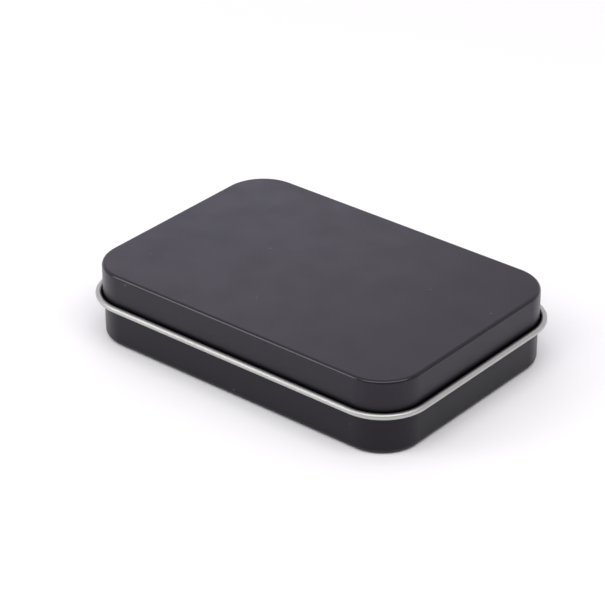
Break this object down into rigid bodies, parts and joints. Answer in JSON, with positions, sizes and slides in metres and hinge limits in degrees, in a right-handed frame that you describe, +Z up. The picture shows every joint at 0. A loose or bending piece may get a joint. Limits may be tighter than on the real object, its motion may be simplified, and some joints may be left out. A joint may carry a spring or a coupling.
{
  "type": "hinged card game tin",
  "caption": "Shallow rectangular tin with rounded corners, for a deck of cards, with a lid that swings on hinge ears round its rolled rim.",
  "frame": {"origin": "on the table, under the middle of the tin's walls, at the tray's underside", "axes": "+X along the length, +Y from the front to the hinge side, +Z up through the lid"},
  "size_m": [0.1038, 0.0733, 0.0208],
  "materials": {
    "black_lacquer": "satin",
    "bare_tin": "bright, slightly soft"
  },
  "bodies": {
    "tray": {"base_tray": "black_lacquer", "base_hem": "black_lacquer", "hinge_ear_left": "bare_tin", "hinge_ear_right": "bare_tin"},
    "lid": {"lid_shell": "black_lacquer", "lid_rim": "bare_tin"}
  },
  "joints": [
    {"name": "lid_hinge", "type": "hinge", "parent": "tray", "child": "lid", "pos_m": [0, 0.03525, 0.0118], "axis": [-1, 0, 0], "range_deg": [0, 110]}
  ]
}
